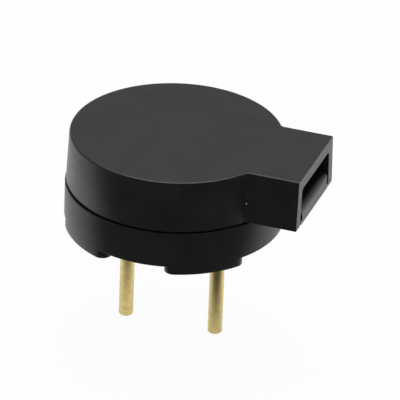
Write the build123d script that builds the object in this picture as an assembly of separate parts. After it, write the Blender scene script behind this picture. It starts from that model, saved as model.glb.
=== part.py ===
from build123d import *
import os
from math import cos, radians, sin, tan

# Side-ported magnetic buzzer for through-hole mounting.
# Millimetres. +Z is up, the sound port points along +X, and the origin lies on
# the body's axis in the plane of the four feet, which is the top of the circuit
# board that the buzzer stands on.

# Outer shells
base_radius = 6.0           # lower shell, outside
overall_height = 5.5        # seating plane to the top of the cap
foot_height = 0.45
seam_height = 2.5           # seating plane to the lower shell's outer rim
seam_gap = 0.10             # open shadow line between the two shells
cap_step = 0.05             # the cap's skirt is this much inside the lower shell
cap_draft = 2.5             # degrees, round side of the cap
cap_wall = 0.65             # at the foot of the skirt
cap_roof = 0.70
cap_edge_radius = 0.13      # round on the cap's top edge
base_edge_radius = 0.10     # round on the lower shell's bottom edge

# Sound port
port_reach = 1.95           # mouth beyond the lower shell's radius
port_width = 5.87           # outside, at the top
port_draft = 3.4            # degrees, port sides
port_wall = 0.68            # side walls
port_root_radius = 0.30     # where the port's sides meet the round skirt
tongue_clearance = 0.05     # floor of the port to its side walls
tongue_chamfer = 0.12       # lower edges of the port's floor
tongue_flange = 0.28        # full-width layer at the bottom of the port's floor
tongue_groove = 0.32        # relief beside the floor, at the top of that layer

# Feet
foot_width = 0.80           # radially
foot_span = 46.0            # degrees
foot_angles = (53.0, 133.0) # centres, each also mirrored below the X axis
foot_corner = 0.50          # plan radius of the outer corners
foot_inner_corner = 0.15

# Inside of the lower shell
base_wall = 1.05            # round the magnet
rim_wall = 0.85             # round the terminal board
collar_wall = 0.50          # round the diaphragm
ledge_width = 0.45          # shelf under the diaphragm's edge
lip_thickness = 0.35        # shelf height over the magnet
diaphragm_recess = 0.46     # diaphragm seat to the top of the collar
collar_clearance = 0.05     # collar inside the cap's skirt
seat_width = 0.35           # ring that carries the cap
fit_clearance = 0.05        # loose discs in their bores

# Terminal board and pins
board_recess = 0.10         # board's underside above the shell's underside
board_thickness = 0.60
pin_pitch = 5.20
pin_radius = 0.40
pin_set_radius = 0.58       # upset stretch that the board and the solder hold
pin_reach = 6.40            # below the seating plane
pin_chamfer = 0.14
pin_set_back = 0.05         # pin's top end below the board's top face
solder_radius = 0.88
solder_height = 0.33
solder_hollow = 0.07        # depth of the joint's concave flank
adhesive_leg = 0.35

# Magnetic circuit
yoke_thickness = 0.50
core_radius = 0.90
rivet_radius = 0.60         # core's tail through the yoke
magnet_thickness = 1.10
magnet_ring = 1.50          # radial width
coil_gap = 0.60             # coil to magnet
coil_clearance = 0.03       # coil to core
coil_headroom = 0.05        # coil's top below the magnet's top
air_gap = 0.15              # core to diaphragm
diaphragm_thickness = 0.08
armature_radius = 1.50
armature_thickness = 0.25

# Coil leads
lead_radius = 0.05
lead_angle = 22.0           # degrees, drop point past each pin
lead_height = 0.30          # exit from the coil above the yoke
lead_bend = 0.15
lead_hole_clearance = 0.15
lead_end = 0.10             # lead's end to the pin's surface

# Radii, from the outside in
cap_radius = base_radius - cap_step
cap_bore = cap_radius - cap_wall
collar_radius = cap_bore - collar_clearance
recess_radius = collar_radius - collar_wall
lip_radius = recess_radius - ledge_width
magnet_bore = base_radius - base_wall
pocket_radius = base_radius - rim_wall
board_radius = pocket_radius - fit_clearance
disc_radius = recess_radius - fit_clearance
magnet_radius = magnet_bore - fit_clearance
magnet_hole = magnet_radius - magnet_ring
coil_radius = magnet_hole - coil_gap
coil_bore = core_radius + coil_clearance

# Heights, from the seating plane up
board_bottom = foot_height + board_recess
board_top = board_bottom + board_thickness
yoke_top = board_top + yoke_thickness
magnet_top = yoke_top + magnet_thickness
disc_seat = magnet_top + lip_thickness
disc_top = disc_seat + diaphragm_thickness
collar_top = disc_seat + diaphragm_recess
cap_bottom = seam_height + seam_gap
cap_ceiling = overall_height - cap_roof
core_top = disc_seat - air_gap

mouth = base_radius + port_reach
pin_top = board_top - pin_set_back
solder_tip = board_bottom - solder_height
drop_radius = coil_radius + coil_gap / 2
cut_over = 1.0              # how far cutting solids pass a face


def disc(radius, low, high, hole=0.0, centre=(0.0, 0.0)):
    """Upright disc, or ring if it has a hole, between two heights."""
    x, y = centre
    body = Pos(x, y, low) * Cylinder(radius, high - low, align=(Align.CENTER, Align.CENTER, Align.MIN))
    if hole:
        body -= disc(hole, low - cut_over, high + cut_over, centre=centre)
    return body


def turned(points):
    """Solid of revolution about Z from (radius, height) corners."""
    return revolve(Plane.XZ * make_face(Polyline(*points, close=True)), Axis.Z)


def port_half(z, inset=0.0):
    """Half width of the port's drafted sides at a height, moved in by inset."""
    return port_width / 2 + (overall_height - z) * tan(radians(port_draft)) - inset


def port_block(low, high, start, end, inset=0.0):
    """Block with the port's drafted sides, from start to end along X."""
    corners = [
        (-port_half(low, inset), low),
        (port_half(low, inset), low),
        (port_half(high, inset), high),
        (-port_half(high, inset), high),
    ]
    return extrude(Plane.YZ.offset(start) * make_face(Polyline(*corners, close=True)), end - start)


def tongue_section(inset):
    """Half section of the port's floor, from the middle out and up: a flange under a relieved side."""
    flange_top = cap_bottom + tongue_flange
    return [
        (port_half(cap_bottom, inset) - tongue_chamfer, cap_bottom),
        (port_half(cap_bottom, inset), cap_bottom + tongue_chamfer),
        (port_half(flange_top, inset), flange_top),
        (port_half(flange_top, inset) - tongue_groove, flange_top),
        (port_half(collar_top, inset), collar_top),
    ]


def cap_side(z):
    """Radius of the cap's drafted round side at a height."""
    return cap_radius - (z - cap_bottom) * tan(radians(cap_draft))


def make_cap():
    """Upper shell: drafted skirt and roof, and the port's roof and two side walls."""
    skirt = turned([
        (0, cap_bottom), (cap_side(cap_bottom), cap_bottom),
        (cap_side(overall_height), overall_height), (0, overall_height),
    ])
    outside = skirt + port_block(cap_bottom, overall_height, 0, mouth)
    root = cap_side((cap_bottom + overall_height) / 2)
    corners = [
        edge for edge in outside.edges()
        if abs(edge.center().Z - (cap_bottom + overall_height) / 2) < 0.1
        and edge.center().X < root and abs(edge.center().Y) > port_width / 4
        and edge.bounding_box().size.Z > (overall_height - cap_bottom) / 2
    ]
    outside = fillet(corners, port_root_radius)
    rim = [
        edge for edge in outside.edges()
        if abs(edge.bounding_box().min.Z - overall_height) < 0.01 and edge.bounding_box().min.X < mouth - 0.01
    ]
    outside = fillet(rim, cap_edge_radius)
    cavity = disc(cap_bore, cap_bottom - cut_over, cap_ceiling)
    channel = port_block(cap_bottom - cut_over, cap_ceiling, 0, mouth + cut_over, port_wall)
    return outside - cavity - channel


def make_foot(angle):
    """One arc-shaped foot under the rim, its corners rounded in plan."""
    inner, outer = base_radius - foot_width, base_radius

    def at(radius, turn):
        return (radius * cos(radians(turn)), radius * sin(radians(turn)))

    first, last = angle - foot_span / 2, angle + foot_span / 2
    outline = make_face([
        ThreePointArc(at(outer, first), at(outer, angle), at(outer, last)),
        Line(at(outer, last), at(inner, last)),
        ThreePointArc(at(inner, last), at(inner, angle), at(inner, first)),
        Line(at(inner, first), at(outer, first)),
    ])
    middle = (inner + outer) / 2
    far = [v for v in outline.vertices() if (v.X ** 2 + v.Y ** 2) ** 0.5 > middle]
    outline = fillet(far, foot_corner)
    near = [
        v for v in outline.vertices()
        if abs((v.X ** 2 + v.Y ** 2) ** 0.5 - inner) < 0.001
    ]
    outline = fillet(near, foot_inner_corner)
    return extrude(outline, foot_height + base_edge_radius + 0.05)


def make_base():
    """Lower shell: stepped bore, collar inside the cap, feet and the port's floor."""
    seat_radius = collar_radius + seat_width
    shell = turned([
        (pocket_radius, foot_height), (base_radius, foot_height), (base_radius, seam_height),
        (seat_radius, seam_height), (seat_radius, cap_bottom),
        (collar_radius, cap_bottom), (collar_radius, collar_top),
        (recess_radius, collar_top), (recess_radius, disc_seat),
        (lip_radius, disc_seat), (lip_radius, magnet_top),
        (magnet_bore, magnet_top), (magnet_bore, board_top), (pocket_radius, board_top),
    ])
    corner = [
        edge for edge in shell.edges().filter_by(GeomType.CIRCLE)
        if abs(edge.center().Z - foot_height) < 0.01 and edge.radius > base_radius - 0.01
    ]
    shell = fillet(corner, base_edge_radius)
    inset = port_wall + tongue_clearance
    right = tongue_section(inset)
    outline = right + [(-y, z) for y, z in reversed(right)]
    tongue = extrude(Plane.YZ * make_face(Polyline(*outline, close=True)), mouth)
    root = port_block(seam_height, collar_top, 0, mouth, inset + tongue_groove)
    root &= disc(base_radius, seam_height, collar_top)
    core_hole = disc((magnet_bore + collar_radius) / 2, seam_height - cut_over, collar_top + cut_over)
    floor = tongue + root - core_hole
    base = shell + floor
    for angle in foot_angles:
        base += make_foot(angle) + make_foot(-angle)
    return base


def make_pin(side):
    """Round pin on the X axis, a little thicker where the board and the solder hold it."""
    centre = (side * pin_pitch / 2, 0.0)
    pin = disc(pin_radius, -pin_reach, solder_tip, centre=centre)
    pin += disc(pin_set_radius, solder_tip, pin_top, centre=centre)
    ends = pin.edges().filter_by(GeomType.CIRCLE).sort_by(Axis.Z)
    return chamfer([ends[0], ends[-1]], pin_chamfer)


def drop_point(side):
    """Where a coil lead drops through the yoke and the board."""
    turn = radians(lead_angle)
    return (side * drop_radius * cos(turn), side * drop_radius * sin(turn))


def make_lead(side):
    """Enamelled wire: out of the coil, down through the yoke and board, to its pin."""
    x, y = drop_point(side)
    out = Vector(x, y, 0).normalized()
    pin = Vector(side * pin_pitch / 2, 0, 0)
    across = (pin - Vector(x, y, 0)).normalized()
    top = yoke_top + lead_height
    low = board_bottom - lead_radius
    start = out * coil_radius + Vector(0, 0, top)
    end = pin - across * (pin_set_radius + lead_end) + Vector(0, 0, low)
    path = FilletPolyline(start, (x, y, top), (x, y, low), end, radius=lead_bend)
    section = Plane(origin=start, z_dir=out) * Circle(lead_radius)
    return sweep(section, path)


def make_solder(side, lead):
    """Concave solder joint round a pin, on the board's underside, over the lead's end."""
    inner, outer = pin_set_radius, solder_radius
    outline = make_face([
        Line((inner, board_bottom), (outer, board_bottom)),
        SagittaArc((outer, board_bottom), (inner, solder_tip), -solder_hollow),
        Line((inner, solder_tip), (inner, board_bottom)),
    ])
    joint = Pos(side * pin_pitch / 2, 0, 0) * revolve(Plane.XZ * outline, Axis.Z)
    return joint - lead


def make_board():
    """Terminal board with a hole for each pin and each lead."""
    board = disc(board_radius, board_bottom, board_top)
    for side in (-1, 1):
        low, high = board_bottom - cut_over, board_top + cut_over
        board -= disc(pin_set_radius, low, high, centre=(side * pin_pitch / 2, 0.0))
        board -= disc(lead_radius + lead_hole_clearance, low, high, centre=drop_point(side))
    return board


def make_yoke():
    """Iron plate under the magnet, holed for the core's tail and the leads."""
    yoke = disc(magnet_radius, board_top, yoke_top, rivet_radius)
    for side in (-1, 1):
        low, high = board_top - cut_over, yoke_top + cut_over
        yoke -= disc(lead_radius + lead_hole_clearance, low, high, centre=drop_point(side))
    return yoke


def make_core():
    """Iron pole with a riveted tail in the yoke."""
    return disc(rivet_radius, board_top, yoke_top) + disc(core_radius, yoke_top, core_top)


def make_adhesive():
    """Bead between the board's underside and the pocket's wall."""
    return turned([
        (pocket_radius, board_bottom), (pocket_radius, board_bottom - board_recess),
        (pocket_radius - adhesive_leg, board_bottom),
    ])


lead_front, lead_rear = make_lead(1), make_lead(-1)
parts = {
    "cap": make_cap(),
    "base": make_base(),
    "diaphragm": disc(disc_radius, disc_seat, disc_top),
    "armature_disc": disc(armature_radius, disc_top, disc_top + armature_thickness),
    "ring_magnet": disc(magnet_radius, yoke_top, magnet_top, magnet_hole),
    "coil": disc(coil_radius, yoke_top, magnet_top - coil_headroom, coil_bore),
    "core": make_core(),
    "yoke_plate": make_yoke(),
    "terminal_board": make_board(),
    "board_adhesive": make_adhesive(),
    "pin_front": make_pin(1),
    "pin_rear": make_pin(-1),
    "solder_front": make_solder(1, lead_front),
    "solder_rear": make_solder(-1, lead_rear),
    "coil_lead_front": lead_front,
    "coil_lead_rear": lead_rear,
}

os.makedirs("parts", exist_ok=True)
for name, part in parts.items():
    export_step(part, f"parts/{name}.step")
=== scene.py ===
"""Looks of a side-ported magnetic buzzer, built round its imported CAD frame.

Everything is in metres in the frame's own axes: +Z up, the sound port along +X,
and the origin on the body's axis in the plane of the feet.
"""
from math import asin, atan2, cos, pi, radians, sin, tan, tau

import bmesh
import bpy
from mathutils import Matrix, Vector


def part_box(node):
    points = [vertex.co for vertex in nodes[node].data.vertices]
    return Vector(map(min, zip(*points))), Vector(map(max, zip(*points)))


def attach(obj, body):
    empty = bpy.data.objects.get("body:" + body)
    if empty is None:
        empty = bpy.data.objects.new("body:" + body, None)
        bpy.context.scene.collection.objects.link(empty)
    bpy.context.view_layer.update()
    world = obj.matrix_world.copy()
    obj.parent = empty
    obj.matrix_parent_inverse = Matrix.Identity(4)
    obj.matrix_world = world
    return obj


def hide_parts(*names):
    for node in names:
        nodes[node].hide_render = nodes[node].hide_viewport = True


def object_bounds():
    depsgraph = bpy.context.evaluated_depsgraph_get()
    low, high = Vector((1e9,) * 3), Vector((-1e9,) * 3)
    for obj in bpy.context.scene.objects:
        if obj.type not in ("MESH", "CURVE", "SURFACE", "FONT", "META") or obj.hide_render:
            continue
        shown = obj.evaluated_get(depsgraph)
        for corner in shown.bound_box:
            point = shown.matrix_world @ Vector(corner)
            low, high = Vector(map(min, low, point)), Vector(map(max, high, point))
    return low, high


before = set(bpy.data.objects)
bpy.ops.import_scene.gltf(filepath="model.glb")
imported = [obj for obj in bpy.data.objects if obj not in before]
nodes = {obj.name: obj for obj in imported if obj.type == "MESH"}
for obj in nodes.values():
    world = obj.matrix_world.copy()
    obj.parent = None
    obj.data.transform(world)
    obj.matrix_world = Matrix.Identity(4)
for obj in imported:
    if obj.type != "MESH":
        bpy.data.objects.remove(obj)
cad_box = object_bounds()

MM = 0.001
cap_low, cap_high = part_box("cap")
base_low, base_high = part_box("base")


# ------------------------------------------------------------------------ sizes

# Cap
PORT_WIDTH = 5.87 * MM          # at the top, outside
PORT_DRAFT = radians(3.4)
PORT_WALL = 0.68 * MM
PORT_ROOT = 0.30 * MM           # round between the port's side and the body
CAP_DRAFT = radians(2.5)
CAP_BORE = 5.30 * MM
CAP_CEILING = cap_high.z - 0.70 * MM
CAP_EDGE = 0.13 * MM
CEILING_ROUND = 0.18 * MM
SHARP_EDGE = 0.035 * MM         # round on the cap's remaining edges
ROOT_STEPS = 8
BODY_STEPS = 200

# Seam under the cap's rim
BODY_FRONT = 4.5 * MM           # the seam is even forward of this
RIM_HEIGHT = 0.05 * MM          # the part of the rim that rises with the seam
SEAM_LIFT = 0.06 * MM
SEAM_RIPPLE = 0.006 * MM
SEAM_WIDE_TURN = radians(200)

# Base, from the outside in
BASE_RADIUS = min(-base_low.x, base_high.y)
BASE_EDGE = 0.10 * MM
RIM_EDGE = 0.05 * MM
FOOT_HEIGHT = 0.45 * MM
SEAM_HEIGHT = 2.50 * MM
SEAT_RADIUS = 5.60 * MM
SEAT_HEIGHT = 2.60 * MM
COLLAR_RADIUS = 5.25 * MM
COLLAR_TOP = 3.56 * MM
COLLAR_CHAMFER = 0.04 * MM
RECESS_RADIUS = 4.75 * MM
DISC_SEAT = 3.10 * MM
SHELF_RADIUS = 4.30 * MM
MAGNET_TOP = 2.75 * MM
MAGNET_BORE = 4.95 * MM
BOARD_TOP = 1.15 * MM
POCKET_RADIUS = 5.15 * MM
POCKET_CHAMFER = 0.03 * MM

# Feet
FOOT_TURNS = (53, 133, -133, -53)
FOOT_SPAN = radians(46)
FOOT_WIDTH = 0.80 * MM
FOOT_STEP = 0.003 * MM          # how far the feet stand back from the shell's side
FOOT_CORNER = 0.50 * MM
FOOT_INNER_CORNER = 0.15 * MM
FOOT_TOP = 0.62 * MM            # within the shell's wall

# Port's floor
LIP_ROUND = 0.35 * MM
TONGUE_CLEARANCE = 0.05 * MM
TONGUE_CHAMFER = 0.12 * MM
TONGUE_FLANGE = 0.28 * MM
TONGUE_GROOVE = 0.32 * MM
FLOOR_BACK = 4.77 * MM          # the floor's inner end, within the collar
FLOOR_ROOT_HALF = 1.9 * MM
FLOOR_ROOT_LOW = 2.40 * MM

# Coil and pins
COIL_DEPTH = 1.87 * MM          # from the coil's bore to its outside
WIRE_PITCH = 0.10 * MM
WIRE_STEPS = 5
PIN_RADIUS = 0.40 * MM
PIN_DOME = 0.16 * MM
DOME_RISE = 0.9                 # the dome's height as a share of its width
NICK_RISE = 0.62 * MM           # from the tip
NICK_HALF = 0.06 * MM
SET_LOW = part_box("solder_front")[0].z
SET_SLOPE = 0.03 * MM
SET_CHAMFER = 0.14 * MM

# Marks on the cap
DUST_SPECK = Vector((5.09, -3.073, 3.72)) * MM
SPECK_RADIUS = 0.05 * MM
SKIRT_DENT = Vector((-4.74, -3.51, 3.17)) * MM
DENT_RADIUS = 0.10 * MM
DENT_DEPTH = 0.05 * MM

# Studio, with distances in metres
VIEW_TURN = radians(-71.853)
VIEW_RISE = radians(28.789)
TOWARDS_CAMERA = Vector((cos(VIEW_TURN), sin(VIEW_TURN), 0))
WHITE = (1.0, 1.0, 1.0, 1.0)
FRONT_LEVEL = 0.06              # what reflections see towards the camera's side, of the world and of the floor's painted shade
HIGH_LEVEL = 0.20               # and higher up
FLOOR_GLOW = 0.96
PAINTED_SHADE_START = 0.0                # the floor's painted shade, seen only in reflections, starts and ends at these
PAINTED_SHADE_END = 0.0065
AMBIENT = 0.40
FLOOR_HALF = 0.6
FLOOR_GAP = 0.00002             # between the pins' tips and the floor


# ---------------------------------------------------------------- shader help

def add(tree, kind, inputs=None, **settings):
    """New shader node: settings are its properties, inputs are values or sockets to link."""
    node = tree.nodes.new(kind)
    for name, value in settings.items():
        setattr(node, name, value)
    for name, value in (inputs or {}).items():
        if isinstance(value, bpy.types.NodeSocket):
            tree.links.new(value, node.inputs[name])
        else:
            node.inputs[name].default_value = value
    return node


def new_material(name):
    """Material with an empty tree, its Principled shader and its object coordinates."""
    made = bpy.data.materials.new(name)
    made.use_nodes = True
    tree = made.node_tree
    tree.nodes.clear()
    shader = add(tree, "ShaderNodeBsdfPrincipled")
    add(tree, "ShaderNodeOutputMaterial", {"Surface": shader.outputs[0]})
    place = add(tree, "ShaderNodeTexCoord").outputs["Object"]
    return made, tree, shader, place


def noise(tree, place, size, detail=2.0, roughness=0.5):
    """Noise with features of about the given size."""
    made = add(tree, "ShaderNodeTexNoise", {
        "Vector": place, "Scale": 1 / size, "Detail": detail, "Roughness": roughness,
    })
    return made.outputs["Fac"]


def spread(tree, value, low, high, start=0.3, end=0.7):
    """Value between start and end, stretched to low and high."""
    made = add(tree, "ShaderNodeMapRange", {
        "Value": value, "From Min": start, "From Max": end, "To Min": low, "To Max": high,
    })
    return made.outputs["Result"]


def between(tree, factor, first, second):
    """Colour mixed from first to second."""
    made = add(tree, "ShaderNodeMix", data_type="RGBA")
    for socket, value in ((0, factor), (6, first), (7, second)):
        if isinstance(value, bpy.types.NodeSocket):
            tree.links.new(value, made.inputs[socket])
        else:
            made.inputs[socket].default_value = value if socket == 0 else (*value, 1.0)
    return made.outputs[2]


def combined(tree, operation, first, second):
    """Two values put together by a maths operation."""
    return add(tree, "ShaderNodeMath", {0: first, 1: second}, operation=operation).outputs[0]


def bump(tree, height, depth, below=None):
    """Normal from a height field of the given depth in metres, on top of another bump."""
    inputs = {"Height": height, "Distance": depth, "Strength": 1.0}
    if below is not None:
        inputs["Normal"] = below
    return add(tree, "ShaderNodeBump", inputs).outputs["Normal"]


def stretched(tree, place, scale):
    """Coordinates scaled along each axis, for brushed or drawn grain."""
    made = add(tree, "ShaderNodeMapping", {"Vector": place, "Scale": scale})
    return made.outputs["Vector"]


def spot(tree, place, centre, radius):
    """1 inside a small ball round a point, fading to 0 at its edge."""
    away = add(tree, "ShaderNodeVectorMath", {0: place, 1: centre}, operation="DISTANCE")
    return spread(tree, away.outputs["Value"], 1.0, 0.0, radius * 0.6, radius)


# ------------------------------------------------------------------ materials

def moulded_plastic(name, grain_depth):
    """Black, fine-grained moulded plastic with slight flow mottling.

    Its dust speck and its tiny dent are at places that lie on the cap.
    """
    made, tree, shader, place = new_material(name)
    flow = noise(tree, place, 1.6 * MM, 3.0)
    grain = noise(tree, place, 0.11 * MM, 3.0, 0.6)
    dark, light = (0.0120, 0.0100, 0.0106), (0.0185, 0.0158, 0.0166)
    colour = between(tree, spread(tree, flow, 0, 1), dark, light)
    speck = spot(tree, place, DUST_SPECK, SPECK_RADIUS)
    colour = between(tree, speck, colour, (0.45, 0.45, 0.43))
    tree.links.new(colour, shader.inputs["Base Color"])
    tree.links.new(spread(tree, grain, 0.30, 0.42), shader.inputs["Roughness"])
    shader.inputs["Specular IOR Level"].default_value = 0.45
    dented = bump(tree, spot(tree, place, SKIRT_DENT, DENT_RADIUS), -DENT_DEPTH)
    under = bump(tree, noise(tree, place, 0.7 * MM, 2.0), 0.003 * MM, dented)
    fine = bump(tree, grain, grain_depth, under)
    tree.links.new(fine, shader.inputs["Normal"])
    return made


def gilt_brass():
    """Drawn brass wire with a thin gold flash, dulled and mottled by handling."""
    made, tree, shader, place = new_material("gold_flashed_brass")
    drawn = noise(tree, stretched(tree, place, (1, 1, 0.12)), 0.07 * MM, 3.0, 0.6)
    mottle = noise(tree, place, 0.25 * MM, 3.0, 0.65)
    colour = between(tree, spread(tree, mottle, 0, 1), (0.60, 0.475, 0.185), (0.70, 0.575, 0.26))
    tree.links.new(colour, shader.inputs["Base Color"])
    tree.links.new(spread(tree, mottle, 0.34, 0.22), shader.inputs["Roughness"])
    shader.inputs["Metallic"].default_value = 1.0
    tree.links.new(bump(tree, drawn, 0.003 * MM), shader.inputs["Normal"])
    return made


def plain_metal(name, dark, light, rough, grain_size, grain=(1, 1, 1), depth=0.004):
    """Metal with mottled tone and a grain that may be stretched along an axis."""
    made, tree, shader, place = new_material(name)
    mottle = noise(tree, place, 0.5 * MM, 3.0)
    lines = noise(tree, stretched(tree, place, grain), grain_size * MM, 3.0, 0.6)
    colour = between(tree, spread(tree, mottle, 0, 1), dark, light)
    tree.links.new(colour, shader.inputs["Base Color"])
    tree.links.new(spread(tree, lines, rough - 0.08, rough + 0.08), shader.inputs["Roughness"])
    shader.inputs["Metallic"].default_value = 1.0
    tree.links.new(bump(tree, lines, depth * MM), shader.inputs["Normal"])
    return made


def sintered_ferrite():
    """Dark grey sintered magnet, granular, with small pits."""
    made, tree, shader, place = new_material("sintered_ferrite")
    grain = noise(tree, place, 0.08 * MM, 4.0, 0.7)
    pits = spread(tree, noise(tree, place, 0.25 * MM, 2.0), 0, 1, 0.62, 0.70)
    colour = between(tree, spread(tree, grain, 0, 1), (0.030, 0.030, 0.033), (0.070, 0.070, 0.074))
    tree.links.new(between(tree, pits, colour, (0.012, 0.012, 0.013)), shader.inputs["Base Color"])
    tree.links.new(spread(tree, grain, 0.45, 0.65), shader.inputs["Roughness"])
    tree.links.new(bump(tree, grain, 0.012 * MM), shader.inputs["Normal"])
    return made


def enamelled_copper():
    """Copper wire under clear enamel."""
    made, tree, shader, place = new_material("enamelled_copper")
    tone = noise(tree, place, 0.4 * MM, 2.0)
    colour = between(tree, spread(tree, tone, 0, 1), (0.42, 0.135, 0.050), (0.62, 0.235, 0.085))
    tree.links.new(colour, shader.inputs["Base Color"])
    tree.links.new(spread(tree, tone, 0.22, 0.34), shader.inputs["Roughness"])
    shader.inputs["Metallic"].default_value = 1.0
    shader.inputs["Coat Weight"].default_value = 0.6
    shader.inputs["Coat Roughness"].default_value = 0.12
    tree.links.new(bump(tree, tone, 0.004 * MM), shader.inputs["Normal"])
    return made


def phenolic_board():
    """Brown paper-phenolic board with faint fibres both ways."""
    made, tree, shader, place = new_material("paper_phenolic")
    along = noise(tree, stretched(tree, place, (0.15, 1, 1)), 0.06 * MM, 3.0, 0.6)
    across = noise(tree, stretched(tree, place, (1, 0.15, 1)), 0.06 * MM, 3.0, 0.6)
    weave = combined(tree, "MAXIMUM", along, across)
    clouds = noise(tree, place, 1.5 * MM, 3.0)
    base = between(tree, spread(tree, clouds, 0, 1), (0.155, 0.080, 0.036), (0.215, 0.118, 0.056))
    colour = between(tree, spread(tree, weave, 0, 0.6, 0.5, 0.8), base, (0.30, 0.185, 0.095))
    tree.links.new(colour, shader.inputs["Base Color"])
    tree.links.new(spread(tree, weave, 0.38, 0.52), shader.inputs["Roughness"])
    tree.links.new(bump(tree, weave, 0.006 * MM), shader.inputs["Normal"])
    return made


def potting_resin():
    """Dark amber epoxy bead, wavy and glossy."""
    made, tree, shader, place = new_material("potting_resin")
    waves = noise(tree, place, 0.6 * MM, 2.0)
    colour = between(tree, spread(tree, waves, 0, 1), (0.040, 0.026, 0.014), (0.070, 0.046, 0.024))
    tree.links.new(colour, shader.inputs["Base Color"])
    tree.links.new(spread(tree, waves, 0.16, 0.26), shader.inputs["Roughness"])
    tree.links.new(bump(tree, waves, 0.04 * MM), shader.inputs["Normal"])
    return made


# ------------------------------------------------------------------ mesh help

def link(name, mesh):
    """New object from a mesh, in the scene."""
    made = bpy.data.objects.new(name, mesh)
    bpy.context.scene.collection.objects.link(made)
    return made


def closed(name, form):
    """New object from a finished form, its faces turned outwards."""
    bmesh.ops.recalc_face_normals(form, faces=form.faces)
    mesh = bpy.data.meshes.new(name)
    form.to_mesh(mesh)
    form.free()
    return link(name, mesh)


def smooth(mesh, sharp_angle):
    """Smooth shading that breaks at edges sharper than an angle in degrees."""
    mesh.shade_smooth()
    mesh.set_sharp_from_angle(angle=radians(sharp_angle))


def applied(piece):
    """The piece with its modifiers made part of its mesh."""
    graph = bpy.context.evaluated_depsgraph_get()
    final = bpy.data.meshes.new_from_object(piece.evaluated_get(graph))
    piece.modifiers.clear()
    piece.data = final
    return piece


def finish_piece(piece, node, finish):
    """Puts a new piece in a CAD node's place, with its material."""
    piece.data.materials.clear()
    piece.data.materials.append(finish)
    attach(piece, "root")
    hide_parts(node)


def turned(name, profile, segments, centre=(0, 0)):
    """Closed profile of (radius, height) points turned about an upright axis."""
    form = bmesh.new()
    rings = []
    for radius, height in profile:
        if radius == 0:
            rings.append([form.verts.new((centre[0], centre[1], height))])
            continue
        rings.append([])
        for step in range(segments):
            turn = tau * step / segments
            x, y = centre[0] + radius * cos(turn), centre[1] + radius * sin(turn)
            rings[-1].append(form.verts.new((x, y, height)))
    for here, there in zip(rings, rings[1:] + rings[:1]):
        if len(here) == 1 and len(there) == 1:
            continue
        for step in range(segments):
            after = (step + 1) % segments
            corners = [here[step % len(here)], here[after % len(here)],
                       there[after % len(there)], there[step % len(there)]]
            form.faces.new(list(dict.fromkeys(corners)))
    return closed(name, form)


def prism(name, rows):
    """Closed solid through rows of points that all have the same count."""
    form = bmesh.new()
    placed = [[form.verts.new(point) for point in row] for row in rows]
    for under, over in zip(placed, placed[1:]):
        for step in range(len(under)):
            after = (step + 1) % len(under)
            form.faces.new((under[step], under[after], over[after], over[step]))
    form.faces.new(placed[0])
    form.faces.new(placed[-1])
    return closed(name, form)


def polar(radius, turn):
    """Point at a radius and a turn round the body."""
    return radius * Vector((cos(turn), sin(turn)))


# ------------------------------------------------------------------------- cap

def edge_broken(piece, width):
    """The piece with a small round on each sharp edge, its flat faces shaded flat."""
    rounding = piece.modifiers.new("edge_round", "BEVEL")
    rounding.width = width
    rounding.segments = 2
    rounding.limit_method = "ANGLE"
    rounding.angle_limit = radians(50)
    rounding.harden_normals = True
    weighting = piece.modifiers.new("flat_faces_lead", "WEIGHTED_NORMAL")
    weighting.keep_sharp = True
    smooth(piece.data, 50)
    return applied(piece)


def seam_rise(turn):
    """How much higher the cap's rim stands at a turn round the body, with a small ripple."""
    side = max(0.0, cos(turn - SEAM_WIDE_TURN))
    ripple = 1.6 + sin(7 * turn) + 0.6 * sin(17 * turn + 1)
    return SEAM_LIFT * side ** 2 + SEAM_RIPPLE * ripple * side


def port_half(height):
    """Half width of the port's drafted sides at a height."""
    return PORT_WIDTH / 2 + (cap_high.z - height) * tan(PORT_DRAFT)


def outer_outline(height, inset):
    """Plan of the cap's outside, moved in: mouth, port side, root round, body, and back again."""
    radius = -cap_low.x - (height - cap_low.z) * tan(CAP_DRAFT) - inset
    half = port_half(height) - inset
    root = PORT_ROOT + inset
    centre = Vector((((radius + root) ** 2 - (half + root) ** 2) ** 0.5, half + root))
    meet = atan2(centre.y, centre.x)
    side = [Vector((cap_high.x, half)), Vector((centre.x, half))]
    for step in range(1, ROOT_STEPS + 1):
        turn = -pi / 2 - (pi / 2 - meet) * step / ROOT_STEPS
        side.append(centre + polar(root, turn))
    arc = tau - 2 * meet
    body = [polar(radius, meet + arc * step / BODY_STEPS) for step in range(1, BODY_STEPS)]
    return side + body + [Vector((v.x, -v.y)) for v in reversed(side)]


def inner_outline(height, inset):
    """Plan of the cap's cavity and sound channel, moved in."""
    radius = CAP_BORE - inset
    half = port_half(height) - PORT_WALL - inset
    meet = asin(half / radius)
    arc = tau - 2 * meet
    body = [polar(radius, meet + arc * step / BODY_STEPS) for step in range(BODY_STEPS + 1)]
    return [Vector((cap_high.x, half))] + body + [Vector((cap_high.x, -half))]


def quarter_round(top, radius, steps):
    """(height, inset) pairs of a round that ends flush with a top."""
    turns = [pi / 2 * step / steps for step in range(steps + 1)]
    return [(top - radius + radius * sin(turn), radius * (1 - cos(turn))) for turn in turns]


def lofted(form, outline, levels):
    """Rows of points, one for each (height, inset) level, with faces between the rows."""
    rows = []
    for height, inset in levels:
        row = []
        for point in outline(height, inset):
            lifted = height < cap_low.z + RIM_HEIGHT and point.x <= BODY_FRONT
            rise = seam_rise(atan2(point.y, point.x)) if lifted else 0
            row.append(form.verts.new((point.x, point.y, height + rise)))
        rows.append(row)
    for under, over in zip(rows, rows[1:]):
        for step in range(len(under) - 1):
            form.faces.new((under[step], under[step + 1], over[step + 1], over[step]))
    return rows


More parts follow.
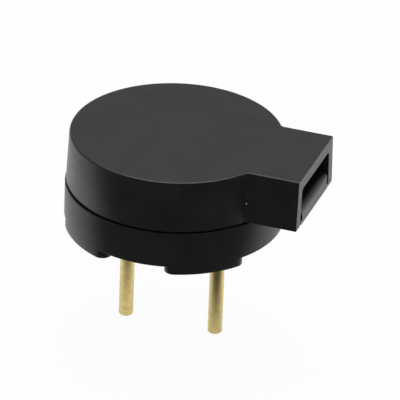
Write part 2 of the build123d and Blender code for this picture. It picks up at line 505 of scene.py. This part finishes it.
def make_cap():
    """Upper shell: drafted skirt and port, rounded top edge, hollow and open at the mouth."""
    form = bmesh.new()
    rim = [(cap_low.z, 0.03 * MM), (cap_low.z + 0.01 * MM, 0.01 * MM), (cap_low.z + 0.03 * MM, 0)]
    outside = lofted(form, outer_outline, rim + quarter_round(cap_high.z, CAP_EDGE, 6))
    ceiling = quarter_round(CAP_CEILING, CEILING_ROUND, 5)
    inside = lofted(form, inner_outline, [(cap_low.z, 0)] + ceiling)
    form.faces.new(outside[-1])
    form.faces.new(inside[-1])
    form.faces.new(outside[0] + inside[0][::-1])
    left = [row[0] for row in outside]
    right = [row[-1] for row in outside]
    channel = [row[-1] for row in inside] + [row[0] for row in reversed(inside)]
    form.faces.new(left + right[::-1] + channel)
    return edge_broken(closed("cap_shell", form), SHARP_EDGE)


# ------------------------------------------------------------------------ base

def foot_plan(middle, inset):
    """Plan of an arc-shaped foot with rounded corners, moved in."""
    inner = BASE_RADIUS - FOOT_WIDTH + inset
    outer = BASE_RADIUS - FOOT_STEP - inset
    half = FOOT_SPAN / 2 - inset / BASE_RADIUS
    far = asin(FOOT_CORNER / (outer - FOOT_CORNER))
    near = asin(FOOT_INNER_CORNER / (inner + FOOT_INNER_CORNER))
    front_steps, back_steps, far_steps, near_steps = 16, 12, 8, 4
    points = []
    for side in (1, -1):
        end = middle + side * half
        edge = [
            polar(outer, middle + side * (half - far) * step / front_steps)
            for step in range(front_steps)
        ]
        far_centre = polar(outer - FOOT_CORNER, end - side * far)
        for step in range(far_steps + 1):
            turn = end - side * far + side * (pi / 2 + far) * step / far_steps
            edge.append(far_centre + polar(FOOT_CORNER, turn))
        near_centre = polar(inner + FOOT_INNER_CORNER, end - side * near)
        for step in range(near_steps + 1):
            turn = end + side * (pi / 2 + (pi / 2 - near) * step / near_steps)
            edge.append(near_centre + polar(FOOT_INNER_CORNER, turn))
        edge += [
            polar(inner, middle + side * (half - near) * (1 - step / back_steps))
            for step in range(1, back_steps)
        ]
        if side == 1:
            points = edge + [polar(inner, middle)]
        else:
            points += edge[:0:-1]
    return points


def make_foot(number, middle):
    """One foot, its lower edge broken, its top within the shell's wall."""
    levels = ((0, 0.05 * MM), (0.015 * MM, 0.015 * MM), (0.05 * MM, 0), (FOOT_TOP, 0))
    rows = [
        [(*point, height) for point in foot_plan(middle, inset)]
        for height, inset in levels
    ]
    return prism(f"foot_{number}", rows)


def tongue_half(height):
    """Half width of the port's floor at a height, with its side clear of the cap's wall."""
    return port_half(height) - PORT_WALL - TONGUE_CLEARANCE


def floor_section(place, top):
    """Section across the port's floor: a flange under a relieved side, cut off at a top."""
    low, flange = cap_low.z, cap_low.z + TONGUE_FLANGE
    share = (top - flange) / (base_high.z - flange)
    groove = tongue_half(flange) - TONGUE_GROOVE
    right = [
        (tongue_half(low) - TONGUE_CHAMFER, low),
        (tongue_half(low), low + TONGUE_CHAMFER),
        (tongue_half(flange), flange),
        (groove, flange),
        (groove + (tongue_half(base_high.z) - groove) * share, top),
    ]
    return [(place, y, z) for y, z in right] + [(place, -y, z) for y, z in reversed(right)]


def make_port_floor():
    """Floor of the sound port, its front top edge rounded over."""
    steps = 8
    rows = [floor_section(FLOOR_BACK, base_high.z)]
    for step in range(steps + 1):
        turn = pi / 2 * step / steps
        place = cap_high.x - LIP_ROUND * (1 - sin(turn))
        rows.append(floor_section(place, base_high.z - LIP_ROUND * (1 - cos(turn))))
    return prism("port_floor", rows)


def make_floor_root():
    """Block that ties the port's floor to the lower shell under it."""
    half, low, high = FLOOR_ROOT_HALF, FLOOR_ROOT_LOW, cap_low.z + TONGUE_FLANGE / 2
    back, front = FLOOR_BACK + 0.05 * MM, BASE_RADIUS - 0.35 * MM
    rows = [
        [(x, -half, low), (x, half, low), (x, half, high), (x, -half, high)]
        for x in (back, front)
    ]
    return prism("floor_root", rows)


def base_profile():
    """(radius, height) points round the lower shell's wall, from its lower edge out and up."""
    profile = [
        (BASE_RADIUS - BASE_EDGE * (1 - sin(turn)), FOOT_HEIGHT + BASE_EDGE * (1 - cos(turn)))
        for turn in (pi / 2 * step / 6 for step in range(7))
    ]
    profile += [
        (BASE_RADIUS - RIM_EDGE * (1 - cos(turn)), SEAM_HEIGHT - RIM_EDGE * (1 - sin(turn)))
        for turn in (pi / 2 * step / 4 for step in range(5))
    ]
    return profile + [
        (SEAT_RADIUS, SEAM_HEIGHT),
        (SEAT_RADIUS, SEAT_HEIGHT),
        (COLLAR_RADIUS, SEAT_HEIGHT),
        (COLLAR_RADIUS, COLLAR_TOP - COLLAR_CHAMFER),
        (COLLAR_RADIUS - COLLAR_CHAMFER, COLLAR_TOP),
        (RECESS_RADIUS + COLLAR_CHAMFER, COLLAR_TOP),
        (RECESS_RADIUS, COLLAR_TOP - COLLAR_CHAMFER),
        (RECESS_RADIUS, DISC_SEAT),
        (SHELF_RADIUS, DISC_SEAT),
        (SHELF_RADIUS, MAGNET_TOP),
        (MAGNET_BORE, MAGNET_TOP),
        (MAGNET_BORE, BOARD_TOP),
        (POCKET_RADIUS, BOARD_TOP),
        (POCKET_RADIUS, FOOT_HEIGHT + POCKET_CHAMFER),
        (POCKET_RADIUS + POCKET_CHAMFER, FOOT_HEIGHT),
    ]


def make_base():
    """Lower shell: stepped and turned, with four feet and the port's floor joined on."""
    shell = turned("base_shell", base_profile(), segments=240)
    joined = [make_foot(number, radians(turn)) for number, turn in enumerate(FOOT_TURNS)]
    for part in joined + [make_port_floor(), make_floor_root()]:
        union = shell.modifiers.new(part.name, "BOOLEAN")
        union.operation = "UNION"
        union.solver = "EXACT"
        union.object = part
        applied(shell)
        bpy.data.objects.remove(part)
    weighting = shell.modifiers.new("flat_faces_lead", "WEIGHTED_NORMAL")
    weighting.keep_sharp = True
    smooth(shell.data, 40)
    return applied(shell)


# ------------------------------------------------------------------------ coil

def scallops(start, end, count, outward):
    """Row of half-round wire bulges from start to end in the profile, corners left out."""
    start, end = Vector(start), Vector(end)
    pitch = (end - start) / count
    points = []
    for turn in range(count):
        middle = start + pitch * (turn + 0.5)
        for step in range(WIRE_STEPS):
            angle = pi * step / WIRE_STEPS
            along, out = pitch * 0.5 * cos(angle), outward * pitch.length * 0.5 * sin(angle)
            points.append(middle - along + out)
    return points


def wound_coil():
    """Coil of fine wire: every turn shows on its outside, its ends and its bore."""
    low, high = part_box("coil")
    inside = WIRE_PITCH / 2
    inner, outer = high.x - COIL_DEPTH + inside, high.x - inside
    bottom, top = low.z + inside, high.z - inside
    rows = round((high.z - low.z - WIRE_PITCH) / WIRE_PITCH)
    layers = round((COIL_DEPTH - WIRE_PITCH) / WIRE_PITCH)
    profile = scallops((outer, bottom), (outer, top), rows, Vector((1, 0)))
    profile += scallops((outer, top), (inner, top), layers, Vector((0, 1)))
    profile += scallops((inner, top), (inner, bottom), rows, Vector((-1, 0)))
    profile += scallops((inner, bottom), (outer, bottom), layers, Vector((0, -1)))
    piece = turned("coil_winding", profile, segments=72)
    smooth(piece.data, 60)
    return piece


# ------------------------------------------------------------------------ pins

def round_pin(name, node, nick_depth):
    """Pin with a dome-edged tip, a faint nick round it near the tip, and its set stretch."""
    low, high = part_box(node)
    middle = (low + high) / 2
    set_radius = (high.x - low.x) / 2
    profile = [(0, low.z)]
    for step in range(7):
        angle = pi / 2 * step / 6
        rise = PIN_DOME * DOME_RISE * (1 - cos(angle))
        profile.append((PIN_RADIUS - PIN_DOME + PIN_DOME * sin(angle), low.z + rise))
    nick = low.z + NICK_RISE
    profile += [
        (PIN_RADIUS, nick - NICK_HALF),
        (PIN_RADIUS - nick_depth, nick),
        (PIN_RADIUS, nick + NICK_HALF),
        (PIN_RADIUS, SET_LOW - SET_SLOPE),
        (set_radius - SET_SLOPE, SET_LOW),
        (set_radius, SET_LOW + SET_SLOPE),
        (set_radius, high.z - SET_CHAMFER),
        (set_radius - SET_CHAMFER, high.z),
        (0, high.z),
    ]
    piece = turned(name, profile, segments=64, centre=(middle.x, middle.y))
    smooth(piece.data, 40)
    return piece


# ------------------------------------------------------------ looks, node by node

gilt = gilt_brass()
copper = enamelled_copper()

finish_piece(make_cap(), "cap", moulded_plastic("black_cap_plastic", 0.005 * MM))
finish_piece(make_base(), "base", moulded_plastic("black_base_plastic", 0.007 * MM))

finish_piece(wound_coil(), "coil", copper)
finish_piece(round_pin("front_pin", "pin_front", 0.002 * MM), "pin_front", gilt)
finish_piece(round_pin("rear_pin", "pin_rear", 0.010 * MM), "pin_rear", gilt)

tinned = plain_metal(
    "solder_alloy", (0.50, 0.50, 0.50), (0.66, 0.66, 0.65), 0.30, 0.25, depth=0.010,
)
rolled_steel = plain_metal(
    "rolled_spring_steel", (0.42, 0.41, 0.40), (0.55, 0.54, 0.52), 0.30, 0.05, (0.05, 1, 1),
)
soft_iron = plain_metal("zinc_plated_iron", (0.38, 0.38, 0.37), (0.52, 0.52, 0.50), 0.36, 0.12)
finishes = {
    "diaphragm": rolled_steel,
    "armature_disc": soft_iron,
    "ring_magnet": sintered_ferrite(),
    "core": soft_iron,
    "yoke_plate": soft_iron,
    "terminal_board": phenolic_board(),
    "board_adhesive": potting_resin(),
    "solder_front": tinned,
    "solder_rear": tinned,
    "coil_lead_front": copper,
    "coil_lead_rear": copper,
}
for node, finish in finishes.items():
    for material_slot in nodes[node].material_slots:
        material_slot.material = finish


# ------------------------------------------------------------- floor and light

def seen_ray(tree, *kinds):
    """1 for the named kinds of ray, else 0."""
    paths = add(tree, "ShaderNodeLightPath")
    total = paths.outputs[kinds[0]]
    for kind in kinds[1:]:
        total = combined(tree, "MAXIMUM", total, paths.outputs[kind])
    return total


def along_view(tree, place):
    """How far a place lies towards the side that the camera's turn points to, in the world."""
    ahead = add(
        tree, "ShaderNodeVectorMath", {0: place, 1: TOWARDS_CAMERA}, operation="DOT_PRODUCT",
    )
    return ahead.outputs["Value"]


def make_floor():
    """Pale floor under the pins: white but for a soft shadow, and clear from beneath. Reflections
    see painted shade on it towards the camera's side.
    """
    form = bmesh.new()
    bmesh.ops.create_grid(form, x_segments=8, y_segments=8, size=FLOOR_HALF)
    mesh = bpy.data.meshes.new("floor")
    form.to_mesh(mesh)
    form.free()
    floor = link("floor", mesh)
    floor.location.z = cad_box[0].z - FLOOR_GAP
    made = bpy.data.materials.new("studio_floor")
    made.use_nodes = True
    tree = made.node_tree
    tree.nodes.clear()
    place = add(tree, "ShaderNodeTexCoord").outputs["Object"]
    lit = add(tree, "ShaderNodeBsdfDiffuse", {"Color": (0.80, 0.80, 0.80, 1.0)})
    ahead = along_view(tree, place)
    # painted shade: as reflections see it, the floor darkens towards the camera's side, standing
    # in for the body's shadow in the pins' reflections
    mirrored = spread(tree, ahead, 1.0, FRONT_LEVEL, PAINTED_SHADE_START, PAINTED_SHADE_END)
    camera = seen_ray(tree, "Is Camera Ray", "Is Transmission Ray")
    level = combined(tree, "MAXIMUM", camera, mirrored)
    glow = add(tree, "ShaderNodeEmission", {"Color": WHITE, "Strength": level})
    # the floor's glow: even white for camera rays, with the painted shade for glossy rays
    seen = seen_ray(tree, "Is Camera Ray", "Is Glossy Ray", "Is Transmission Ray")
    share = combined(tree, "MULTIPLY", seen, FLOOR_GLOW)
    mixed = add(tree, "ShaderNodeMixShader", {0: share, 1: lit.outputs[0], 2: glow.outputs[0]})
    beneath = add(tree, "ShaderNodeNewGeometry").outputs["Backfacing"]
    clear = add(tree, "ShaderNodeBsdfTransparent")
    open_below = add(
        tree, "ShaderNodeMixShader", {0: beneath, 1: mixed.outputs[0], 2: clear.outputs[0]},
    )
    add(tree, "ShaderNodeOutputMaterial", {"Surface": open_below.outputs[0]})
    mesh.materials.append(made)


def make_world():
    """White studio; reflections see it dimmer towards the camera's side and higher up."""
    world = bpy.data.worlds.new("studio")
    world.use_nodes = True
    bpy.context.scene.world = world
    tree = world.node_tree
    tree.nodes.clear()
    heading = add(tree, "ShaderNodeTexCoord").outputs["Generated"]
    across = spread(tree, along_view(tree, heading), 1.0, FRONT_LEVEL, -0.2, 0.6)
    height = add(tree, "ShaderNodeSeparateXYZ", {0: heading}).outputs["Z"]
    upward = spread(tree, height, 1.0, HIGH_LEVEL, 0.05, 0.45)
    mirrored = combined(tree, "MULTIPLY", across, upward)
    camera = seen_ray(tree, "Is Camera Ray", "Is Transmission Ray")
    level = combined(tree, "MAXIMUM", camera, mirrored)
    seen = seen_ray(tree, "Is Camera Ray", "Is Glossy Ray", "Is Transmission Ray")
    studio = add(tree, "ShaderNodeBackground", {"Color": WHITE, "Strength": level})
    ambient = add(tree, "ShaderNodeBackground", {"Color": WHITE, "Strength": AMBIENT})
    mixed = add(
        tree, "ShaderNodeMixShader", {0: seen, 1: ambient.outputs[0], 2: studio.outputs[0]},
    )
    add(tree, "ShaderNodeOutputWorld", {"Surface": mixed.outputs[0]})


def softbox(name, direction, distance, size, power):
    """Square area light aimed at the middle of the body."""
    lamp = bpy.data.lights.new(name, "AREA")
    lamp.size = size
    lamp.energy = power
    holder = bpy.data.objects.new(name, lamp)
    holder.location = Vector(direction).normalized() * distance
    holder.rotation_euler = (-holder.location).to_track_quat("-Z", "Y").to_euler()
    bpy.context.scene.collection.objects.link(holder)


make_floor()
make_world()
overhead = Vector((0, 0, 1)) - 0.35 * TOWARDS_CAMERA
softbox("top_softbox", overhead, distance=0.25, size=0.20, power=0.42)


# ---------------------------------------------------------------------- camera

def make_camera():
    """Long-lens camera at the view's turn and rise, rolled a little, the body off centre."""
    lens = bpy.data.cameras.new("camera")
    lens.sensor_width = 36
    lens.lens = 497.007
    lens.clip_start = 0.01
    lens.clip_end = 10
    distance = 0.300
    target = Vector((0, 0, 0.003))
    roll = radians(2.182)
    beside, below = 0.06124, 0.0682375  # from the frame's middle, as shares of its width
    frame_width = distance * lens.sensor_width / lens.lens
    back = cos(VIEW_RISE) * TOWARDS_CAMERA + Vector((0, 0, sin(VIEW_RISE)))
    right = Vector((-sin(VIEW_TURN), cos(VIEW_TURN), 0))
    up = back.cross(right)
    side = cos(roll) * right + sin(roll) * up
    top = cos(roll) * up - sin(roll) * right
    stand = target + back * distance + (beside * side - below * top) * frame_width
    facing = Matrix((side, top, back)).transposed().to_4x4()
    camera = bpy.data.objects.new("camera", lens)
    camera.matrix_world = Matrix.Translation(stand) @ facing
    bpy.context.scene.collection.objects.link(camera)
    bpy.context.scene.camera = camera


make_camera()
bpy.context.scene.view_settings.view_transform = "Standard"
